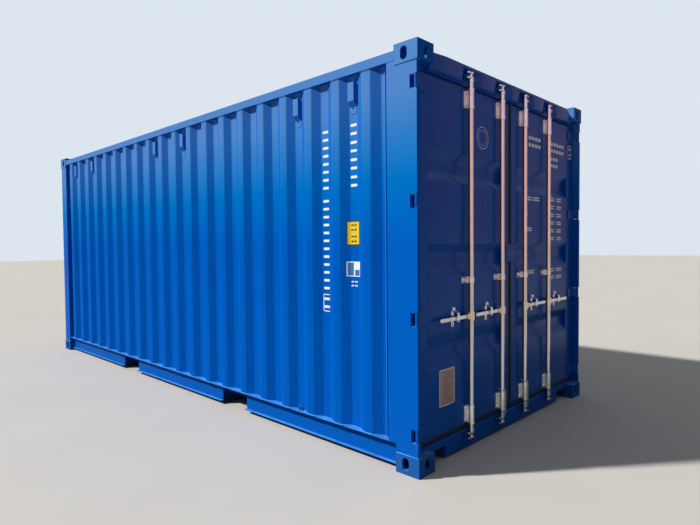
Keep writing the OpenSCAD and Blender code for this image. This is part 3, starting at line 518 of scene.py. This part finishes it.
roof_length, roof_z, ridge_rise, ridge_end, fade_length = 5.702, 2.561, 0.020, 1.147, 0.04
ridges = waves(count=26, first=0.1795, slope=0.0135, crest=0.091, valley=0.091, span=roof_length)
ridge_outline = bent(ridges * [1, ridge_rise], 0.004, 3)
half = np.array([1.195, ridge_end, 1.137, 1.127, 1.117, 1.107])
across = np.concatenate([-half, half[::-1]])
fade = np.clip((ridge_end - np.abs(across)) / fade_length, 0, 1)
fade = fade * fade * (3 - 2 * fade)
lift = ridge_outline[:, 1:] * fade[None]
x, y = ridge_outline[:, :1] - roof_length / 2 + 0 * lift, across[None] + 0 * lift
roof_parts = [thick_grid(np.stack([x, y, roof_z + lift], -1),
                         np.stack([x, y, roof_z - sheet_gauge + lift], -1))]
for end in (-1, 1):
    for near, far, reach in ((roof_length / 2, 2.968, 1.051), (2.968, 3.005, 0.907)):
        x, y = np.meshgrid([end * near, end * far], [-reach, reach], indexing="ij")
        roof_parts.append(thick_grid(np.stack([x, y, 0 * x + roof_z], -1),
                                     np.stack([x, y, 0 * x + roof_z - sheet_gauge], -1)))
roof_paint = blue_paint("roof_paint", blue, streaks=0.1, dust=0.3, gloss=0.34, waves=0.6, grain=0.15,
                        ledges=0.12, painted_sheen=0.15)
roof = mesh_piece("roof_sheet", *joined(roof_parts), roof_paint, "container", "roof_paint", 50)
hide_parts("roof_panel")


# Vents
# Small pressed hoods in six recesses of each wall, open at the bottom, with one screw below and two above.
# The screws are near-black pan heads.
def repeated(faces, copies, size):
    """The faces of several copies of a shape: those of copy k join the points size k further on."""
    return [np.asarray(face) + size * k for k in range(copies) for face in faces]


def pan_heads(centres, axis, radius, rise, rings=4, sides=10):
    """Pan heads: point (r, a) of each is centre + radius r (cos a * e1 + sin a * e2)
    + rise (sqrt(1 - r^2) + 0.35) axis, with e1 and e2 square to the axis and a last ring sunk in."""
    centres, axis = np.asarray(centres, float), np.asarray(axis, float)
    e1 = np.cross(axis, [0.0, 0.0, 1.0] if abs(axis[2]) < 0.9 else [1.0, 0.0, 0.0])
    e1 /= np.linalg.norm(e1)
    e2 = np.cross(axis, e1)
    r = np.concatenate([np.sin(np.linspace(0.35, 1, rings) * np.pi / 2), [1.0]])
    lift = np.concatenate([rise * np.sqrt(np.clip(1 - r[:-1] ** 2, 0, 1)) + rise * 0.35, [-0.0005]])
    a = np.linspace(0, 2 * np.pi, sides, endpoint=False)
    rim = radius * r[:, None, None] * (np.cos(a)[None, :, None] * e1 + np.sin(a)[None, :, None] * e2) \
        + lift[:, None, None] * axis
    points = (centres[:, None, None] + rim[None]).reshape(-1, 3)
    i = np.arange(len(r) * sides).reshape(len(r), sides)
    j = np.roll(i, -1, 1)
    walls = np.stack([i[:-1], j[:-1], j[1:], i[1:]], -1).reshape(-1, 4)
    return points, repeated([*walls, i[0], i[-1]], len(centres), len(r) * sides)


vent_paint = blue_paint("vent_paint", (0.03, 0.20, 0.66), streaks=0.2, dust=0.2, gloss=0.3, waves=0.1,
                        grain=0.15, specular=0.02)
for node in ("vents_left", "vents_right"):
    softened(node, vent_paint, 0.0012)
screw_black = blue_paint("screw_black", (0.001, 0.006, 0.02), streaks=0.0, dust=0.0, gloss=0.45, waves=0.0,
                         grain=0.1, ledges=0.0, painted_sheen=0.0)
vent_x = np.array([2.476, 1.920, 0.252, -0.304, -1.972, -2.528])
screw_places = ((0.0, 2.289), (-0.022, 2.471), (0.022, 2.471))
for side, name in ((-1, "vent_screws_left"), (1, "vent_screws_right")):
    spots = np.concatenate([np.stack([vent_x + dx, 0 * vent_x + side * 1.178, 0 * vent_x + z], 1)
                            for dx, z in screw_places])
    mesh_piece(name, *pan_heads(spots, (0, side, 0), 0.0062, 0.0022), screw_black, "container", "vent_paint")


# Wall markings
# Flat paint and film on the recesses of one long wall, beside its rear post: two upright rows of plain paired
# dashes in white paint, and a yellow and a white plate of plain film that follow the bends of the wall.
def dashes(centres, halves, gauge, place, sides=16):
    """Thin rounded dashes: outline point a of each is centre + halves * sign(t) |t|^0.4 for
    t = (cos a, sin a), on two levels a gauge apart, with place(u, v, level) its point."""
    centres, halves = np.asarray(centres, float), np.asarray(halves, float)
    a = np.linspace(0, 2 * np.pi, sides, endpoint=False) + np.pi / sides
    unit = np.stack([np.cos(a), np.sin(a)], -1)
    unit = np.sign(unit) * np.abs(unit) ** 0.4
    flat = centres[:, None] + halves[:, None] * unit[None]
    levels = np.stack([place(flat[..., 0], flat[..., 1], g) for g in (0.0, gauge)], 1)
    i = np.arange(2 * sides).reshape(2, sides)
    walls = np.stack([i[0], np.roll(i[0], -1), np.roll(i[1], -1), i[1]], -1)
    return levels.reshape(-1, 3), repeated([*walls, i[0], i[1]], len(centres), 2 * sides)


def paired(centres, width, height, thick=0.10):
    """Two dashes about each centre, 0.31 height above it and 0.31 height below it."""
    c = np.asarray(centres, float)
    shift = np.array([0, height * 0.31])
    both = np.concatenate([c + shift, c - shift])
    return both, np.tile([width / 2, height * thick], (len(both), 1))


def frame_of(centre, half_width, half_height, thin=0.003, past=0.003):
    """Four dashes round a centre: two upright at half_width from it and two level at half_height."""
    u, v = centre
    centres = [(u - half_width, v), (u + half_width, v), (u, v + half_height), (u, v - half_height)]
    upright = (thin, half_height + past)
    level = (half_width + past, thin)
    return np.array(centres), np.array([upright, upright, level, level])


def film(name, colour, rough):
    """Marking paint or film: an even colour with faint mottling."""
    material, tree, shader = new_material(name)
    mottle = between(tree, noise(tree, object_place(tree), 60.0), 0.3, 0.7, 0.0, 0.12)
    tree.links.new(blend_colour(tree, mottle, (*colour, 1), tuple(0.7 * c for c in colour) + (1,)),
                   shader.inputs["Base Color"])
    tree.links.new(between(tree, mottle, 0, 0.12, rough, rough + 0.15), shader.inputs["Roughness"])
    return material


def on_recess(u, v, g):
    """The point u along, v up and g proud of the wall's recesses."""
    return np.stack([u, 0 * u - recess_y - 0.0001 - g, v], -1)


def wrapped(x0, x1, z0, z1, proud):
    """A film that follows the wall's bends: a sheet from the wall's outline to the same, `proud` of it."""
    x = np.linspace(x0, x1, 25)
    y = -np.interp(wall_rear - x, wall_outline[:, 0], wall_outline[:, 1])
    faces = [np.stack([np.stack([x, y - off, 0 * x + z], -1) for z in (z0, z1)], 1)
             for off in (proud, 0.0001)]
    return thick_grid(*faces)


white_film = film("white_film", (0.93, 0.93, 0.93), 0.45)
paint_gauge, long_row_x, short_row_x = 0.0005, 2.205, 2.474
long_row = [(long_row_x, 2.195 - 0.048 - 0.110 * k - 0.035 * (k > 3) - 0.02 * (k > 9)) for k in range(11)]
short_row = [(short_row_x, 2.202 - 0.048 - 0.113 * k) for k in range(4)]
marks = [paired(long_row + short_row, 0.058, 0.088), paired([(2.455, 1.137), (2.488, 1.137)], 0.024, 0.042),
         frame_of(long_row[-1], 0.034, 0.058)]
centres, halves = (np.vstack(part) for part in zip(*marks))
mesh_piece("wall_dashes", *dashes(centres, halves, paint_gauge, on_recess), white_film, "container",
           "wall_paint")

under, over = 0.0006, 0.0009
black_film = film("black_film", (0.012, 0.012, 0.013), 0.4)
yellow_film = film("yellow_film", (0.86, 0.62, 0.02), 0.4)
sky_film = film("sky_film", (0.03, 0.16, 0.42), 0.4)
mesh_piece("yellow_plate_border", *wrapped(2.414, 2.526, 1.391, 1.554, under), black_film, "container",
           "wall_paint")
mesh_piece("yellow_plate", *wrapped(2.421, 2.519, 1.398, 1.547, over), yellow_film, "container", "wall_paint")
centres, halves = paired([(2.456, 1.510), (2.484, 1.510), (2.456, 1.434), (2.484, 1.434)], 0.022, 0.05)
plate_dashes = dashes(centres, halves, paint_gauge, lambda u, v, g: on_recess(u, v, g + over))
mesh_piece("yellow_plate_dashes", *plate_dashes, black_film, "container", "wall_paint")
mesh_piece("square_film", *wrapped(2.413, 2.530, 1.185, 1.284, under), white_film, "container", "wall_paint")
fields = [wrapped(2.419, 2.466, 1.191, 1.278, over), wrapped(2.478, 2.524, 1.191, 1.230, over)]
mesh_piece("square_film_field", *joined(fields), sky_film, "container", "wall_paint")


# Door leaves
# Each leaf is a welded tube frame round a flush steel sheet with three pressed grooves, hung on four blades.
# A black rubber gasket seals its edge, and a bolted lap plate on the right leaf holds the left one shut.
leaf_face, leaf_foot, groove_depth = 2.968, 0.345, 0.034
grooves = waves(count=3, first=0.277, slope=0.061, crest=0.068, valley=0.396, span=1.945)
groove_outline = bent(grooves * [1, -groove_depth] + [leaf_foot, leaf_face], 0.012)
door_paint = blue_paint("door_paint", (0.0, 0.093, 0.455), streaks=0.25, dust=0.04, gloss=0.22, waves=0.45,
                        grain=0.1, specular=0.11, ledges=0.3, painted_sheen=0.12)
for side, name in ((-1, "left"), (1, "right")):
    sheet = bent_sheet(groove_outline, sheet_gauge, (0.109, 1.040),
                       lambda u, v, w: np.stack([v, side * w, u], -1))
    panel = mesh_piece("door_sheet_" + name, *sheet, door_paint, "door_" + name, "door_paint", 50)
    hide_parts("door_panel_" + name)
    softened("door_frame_" + name, door_paint, 0.0018)
    softened("hinge_blades_" + name, door_paint, 0.002)

gasket_rubber, tree, shader = new_material("gasket_rubber")
place = object_place(tree)
chalk = noise(tree, place, 24.0, 4.0)
tree.links.new(blend_colour(tree, chalk, (0.018, 0.033, 0.056, 1), (0.034, 0.060, 0.090, 1)),
               shader.inputs["Base Color"])
tree.links.new(raised(tree, noise(tree, place, 400.0, 2.0), 0.3, 0.0008), shader.inputs["Normal"])
tree.links.new(between(tree, chalk, 0.3, 0.7, 0.6, 0.8), shader.inputs["Roughness"])
shader.inputs["Specular IOR Level"].default_value = 0.15


def repaint(node, material):
    """Gives a CAD node's own mesh another material."""
    for slot in nodes[node].material_slots:
        slot.material = material


def on_leaf(u, v, g):
    """The point u across, v up and g proud of the face of a shut leaf."""
    return np.stack([0 * u + leaf_face + 0.0001 + g, u, v], -1)


for side, name in ((-1, "left"), (1, "right")):
    repaint("door_gasket_" + name, gasket_rubber)
    mesh_piece("gasket_lip_" + name, *dashes([(side * 0.014, 1.305)], [(0.008, 1.120)], 0.002, on_leaf),
               gasket_rubber, "door_" + name, "gasket_rubber")
hinge_heights = 0.246 + 0.701 * np.arange(4)
plates = [dashes([(2.993, side * 1.200)], [(0.0245, 0.0138)], 0.0052,
                 lambda u, v, g: np.stack([u, v, 0 * u + z + rise + g], -1))
          for side in (-1, 1) for z in hinge_heights for rise in (-0.0439, 0.0387)]
mesh_piece("hinge_wear_plates", *joined(plates), frame_paint, "container", "frame_paint")
softened("lap_plate", door_paint, 0.002)
bolts = pan_heads([(2.980, y, z) for y in (-0.055, 0.078) for z in (1.296, 1.356)], lengthwise, 0.008, 0.004)
mesh_piece("lap_plate_bolts", *bolts, door_paint, "door_right", "door_paint")


# Locking gear
# Four galvanised rods with cast cams at both ends run in sleeves on bolted plates; each has a flat handle
# that lies on a shelf behind its bent catch. The keepers that the cams grip are welded on and painted over.
# The lock rods' tint by height is a painted reflection, cooler low down and warmer above 1.1 m.
rod_steel = zinc("rod_steel", (0.64, 0.56, 0.53), (0.55, 0.48, 0.45), 0.17, 160.0,
                 foot=(0.95, 1.08, 1.22), upper=(1.04, 0.96, 0.87), cast=(0.94, 1.10, 1.19))
bracket_steel = zinc("bracket_steel", (0.71, 0.66, 0.68), (0.50, 0.47, 0.48), 0.28, foot=(1.05, 1.19, 1.13))
handle_steel = zinc("handle_steel", (0.70, 0.71, 0.72), (0.50, 0.50, 0.50), 0.26)
catch_steel = zinc("catch_steel", (0.80, 0.88, 0.94), (0.50, 0.54, 0.58), 0.26)
for number in "1234":
    softened("lock_rod_" + number, rod_steel, 0.0012)
    softened("handle_" + number, handle_steel, 0.0015)
    softened("catch_" + number, catch_steel, 0.0012)
softened("cam_keepers", frame_paint, 0.0015)
plate_x, shelf_z, sleeve_heights = 2.974, 1.153, (0.243, 2.355)
for side, name in ((-1, "left"), (1, "right")):
    softened("rod_brackets_" + name, bracket_steel, 0.0012)
    softened("handle_retainers_" + name, bracket_steel, 0.0012)
    spots = []
    for y in (inner_rod_y, 0.600):
        spots += [(plate_x, side * y + dy, z + dz) for z in sleeve_heights for dy in (-0.024, 0.024)
                  for dz in (-0.040, 0.040)]
        spots += [(plate_x, side * y + dy, shelf_z) for dy in (-0.052, 0.052)]
    mesh_piece("bracket_bolts_" + name, *pan_heads(spots, lengthwise, 0.009, 0.005), bracket_steel,
               "door_" + name, "bracket_steel")


# Door markings and plates
# A riveted metal data plate with a pale rim and faint ruled lines, two thin white rings and, on the right
# leaf, rows of plain dashes. Rings and dashes are sprayed through stencils in the wall's white paint.
data_plate_metal, tree, shader = new_material("data_plate_metal")
brushed = noise(tree, stretched(tree, object_place(tree), (40, 30, 900)), 1.0)
tree.links.new(blend_colour(tree, brushed, (0.30, 0.22, 0.20, 1), (0.54, 0.42, 0.39, 1)),
               shader.inputs["Base Color"])
tree.links.new(between(tree, brushed, 0.3, 0.7, 0.32, 0.5), shader.inputs["Roughness"])
shader.inputs["Metallic"].default_value = 0.6
softened("data_plate", data_plate_metal, 0.0006)
spots = [(2.970, y, z) for y in (-0.916, -0.758) for z in (0.359, 0.582)]
rivets = pan_heads(spots, lengthwise, 0.0035, 0.002)
mesh_piece("data_plate_rivets", *rivets, pin_steel, "door_left", "data_plate_metal")


def on_plate(u, v, g):
    """The point u across, v up and g proud of the data plate."""
    return on_leaf(u, v, g + 0.0019)


plate_print = film("plate_print", (0.07, 0.05, 0.05), 0.5)
rules = [(-0.845 + 0.006 * (k % 4), 0.568 - 0.0165 * k) for k in range(13)]
rule_halves = [((0.058, 0.036, 0.050, 0.062, 0.028)[k % 5], 0.0017) for k in range(13)]
mesh_piece("data_plate_rules", *dashes(rules, rule_halves, 0.0003, on_plate), plate_print, "door_left",
           "data_plate_metal")
rim_film = film("rim_film", (0.80, 0.80, 0.84), 0.4)
rim = [(-0.9205, 0.4705), (-0.7535, 0.4705), (-0.837, 0.5865), (-0.837, 0.3545)]
rim_halves = [(0.0040, 0.1195), (0.0040, 0.1195), (0.0870, 0.0028), (0.0870, 0.0028)]
mesh_piece("data_plate_rim", *dashes(rim, rim_halves, 0.0002, on_plate), rim_film, "door_left",
           "data_plate_metal")


def ring(inner, outer):
    """A flat ring of paint on the left leaf: point (r, a) is its centre + r (cos a, sin a)."""
    a = np.linspace(0, 2 * np.pi, 64)
    levels = [np.stack([on_leaf(-0.390 + r * np.cos(a), 2.132 + r * np.sin(a), g) for r in (inner, outer)], 1)
              for g in (paint_gauge, 0.0)]
    return thick_grid(*levels)


mesh_piece("door_rings", *joined([ring(0.0735, 0.0775), ring(0.052, 0.0545)]), white_film, "door_left",
           "door_paint")

sign_step, top_row_z, next_row_z = 0.056, 2.206, 2.080
signs = [(0.333 + sign_step * k, top_row_z) for k in range(4)]
signs += [(0.681 + sign_step * k, top_row_z) for k in range(6)]
signs += [(0.665 + sign_step * k, next_row_z) for k in range(4)]
words = [(0.235, 0.030, 1.752), (0.330, 0.040, 1.752), (0.445, 0.062, 1.752), (0.255, 0.045, 1.633),
         (0.290, 0.080, 1.507), (0.330, 0.085, 1.166)]
words += [(y, w, 1.765 - 0.066 * k) for k in range(6) for y, w in ((0.735, 0.058), (0.885, 0.048))]
words += [(y, w, 1.166 - 0.062 * k) for k in range(2) for y, w in ((0.735, 0.058), (0.885, 0.062))]
lines = [(np.array([[y, z + 0.009], [y, z - 0.009]]), np.array([[w, 0.006], [w, 0.006]]))
         for y, w, z in words]
marks = [paired(signs, 0.044, 0.090, 0.16), *lines, frame_of((1.110, top_row_z), 0.034, 0.056),
         paired([(1.110, top_row_z)], 0.036, 0.08)]
centres, halves = (np.vstack(part) for part in zip(*marks))
mesh_piece("door_dashes", *dashes(centres, halves, paint_gauge, on_leaf), white_film, "door_right",
           "door_paint")


# Underframe
# Nineteen pressed cross members and the fork tunnels' top plates, welded between the bottom rails, in a
# darker blue as painted shade under the container, with more road dust. Small welded hooks take the ropes
# that hold an open door back.
underframe_paint = blue_paint("underframe_paint", (0.001, 0.08, 0.38), streaks=0.35, dust=0.7, gloss=0.42,
                              waves=0.3, grain=0.2)
for node in ("cross_members", "fork_pocket_plates"):
    repaint(node, underframe_paint)
softened("tie_back_hooks", frame_paint, 0.001)


# Floor
# Plywood boards laid lengthwise in two rows and screwed down to every cross member.
# They are worn and greyed where loads have been dragged over them.
floor_wood, tree, shader = new_material("floor_wood")
place = object_place(tree)
long_grain = noise(tree, stretched(tree, place, (1.2, 34.0, 34.0)), 1.0, 6.0, 0.6)
worn = noise(tree, place, 3.0, 4.0)
wood = blend_colour(tree, between(tree, long_grain, 0.3, 0.7), (0.26, 0.13, 0.05, 1), (0.46, 0.27, 0.12, 1))
tree.links.new(blend_colour(tree, between(tree, worn, 0.4, 0.8, 0.0, 0.45), wood, (0.30, 0.24, 0.18, 1)),
               shader.inputs["Base Color"])
tree.links.new(between(tree, long_grain, 0.3, 0.7, 0.45, 0.65), shader.inputs["Roughness"])
tree.links.new(raised(tree, long_grain, 0.3, 0.001), shader.inputs["Normal"])
repaint("floor_boards", floor_wood)
beam_pitch, board_top = 0.2932, 0.170
beams = np.concatenate([np.arange(1, 6) * beam_pitch + 1.205, [0.8225, 1.2275, 0.5633, 0.2817]])
beams = np.concatenate([beams, -beams, [0.0]])
bx, by = np.meshgrid(beams, [-1.08, -0.72, -0.36, -0.06, 0.06, 0.36, 0.72, 1.08], indexing="ij")
spots = np.stack([bx.ravel(), by.ravel(), 0 * bx.ravel() + board_top], 1)
screws = pan_heads(spots, upright, 0.006, 0.001, 2, 8)
mesh_piece("floor_screws", *screws, pin_steel, "container", "pin_steel")


# Studio
# A plain pale floor and backdrop, and one soft low sun on the long side and the floor before it.
# The surround is warm before the doors, cool above and white beside the wall, which colours the shine.
def full_rays(tree):
    """1 for rays that are seen directly, in a reflection or through glass, and 0 for the rest."""
    seen = shader_node(tree, "LightPath").outputs
    mirrored = reckon(tree, "MAXIMUM", seen["Is Glossy Ray"], seen["Is Transmission Ray"])
    return reckon(tree, "MAXIMUM", seen["Is Camera Ray"], mirrored)


floor_material, tree, shader = new_material("studio_floor")
pale = blend_colour(tree, noise(tree, object_place(tree), 0.8, 5.0), (0.60, 0.57, 0.52, 1),
                    (0.67, 0.64, 0.59, 1))
tree.links.new(blend_colour(tree, full_rays(tree), (0.30, 0.30, 0.30, 1), pale), shader.inputs["Base Color"])
shader.inputs["Roughness"].default_value = 0.85
shader.inputs["Specular IOR Level"].default_value = 0.2
floor_radius = 60
turns = np.linspace(0, 2 * np.pi, 96, endpoint=False)
floor_mesh = bpy.data.meshes.new("studio_floor")
floor_mesh.from_pydata([(floor_radius * math.cos(t), floor_radius * math.sin(t), 0.0) for t in turns], [],
                       [list(range(len(turns)))])
floor_mesh.materials.append(floor_material)
floor = bpy.data.objects.new("studio_floor", floor_mesh)
bpy.context.scene.collection.objects.link(floor)

key = bpy.data.objects.new("key_light", bpy.data.lights.new("key_light", "SUN"))
key.data.energy = 4.03
key.data.angle = math.radians(3)
key.data.color = (1.0, 0.98, 0.95)
key.rotation_euler = Vector((-0.756, -0.931, 1.0)).to_track_quat("Z", "Y").to_euler()
bpy.context.scene.collection.objects.link(key)

world = bpy.data.worlds.new("surround")
bpy.context.scene.world = world
world.use_nodes = True
tree = world.node_tree
direction = tree.nodes.new("ShaderNodeTexCoord").outputs["Generated"]
rise = split(tree, direction)[2]


def toward(x, y, low, high):
    """How far a ray looks along the ground direction (x, y): their dot product, from low..high to 0..1."""
    along = shader_node(tree, "VectorMath", {"operation": "DOT_PRODUCT"}, {0: direction, 1: (x, y, 0)})
    return between(tree, along.outputs["Value"], low, high)


horizon, overhead, plain_white = (0.27, 0.30, 0.32, 1), (0.55, 0.71, 0.83, 1), (1.0, 1.0, 1.0, 1)
room = blend_colour(tree, between(tree, rise, 0.05, 0.6), horizon, overhead)
evening = blend_colour(tree, between(tree, rise, 0.14, 0.27), (1.0, 0.68, 0.61, 1), (1.0, 0.73, 0.88, 1))
warm = blend_colour(tree, toward(0.903, 0.430, -0.35, 0.25), (1.0, 0.96, 0.98, 1), evening)
room = blend_colour(tree, toward(0.819, -0.574, 0.30, 0.62), room, warm)
room = blend_colour(tree, toward(0.482, 0.876, 0.75, 0.93), room, (0.60, 0.33, 0.47, 1))
screen = reckon(tree, "MULTIPLY", toward(-0.61, -0.79, 0.3, 0.8), between(tree, rise, 0.09, 0.24))
room = blend_colour(tree, screen, room, plain_white)
camera_ray = shader_node(tree, "LightPath").outputs["Is Camera Ray"]
backdrop = reckon(tree, "MAXIMUM", toward(-0.70, 0.72, 0.35, 0.80), camera_ray)
room = blend_colour(tree, backdrop, room, (0.72, 0.79, 0.86, 1))
seen = full_rays(tree)
background = tree.nodes["Background"]
tree.links.new(blend_colour(tree, seen, (0.86, 0.93, 1.0, 1), room), background.inputs["Color"])
fill = between(tree, rise, 0.25, 0.9, 0.02, 0.34)
tree.links.new(shader_node(tree, "Mix", {"data_type": "FLOAT"}, {0: seen, 2: fill, 3: 1.0}).outputs[0],
               background.inputs["Strength"])
bpy.context.scene.view_settings.view_transform = "Standard"
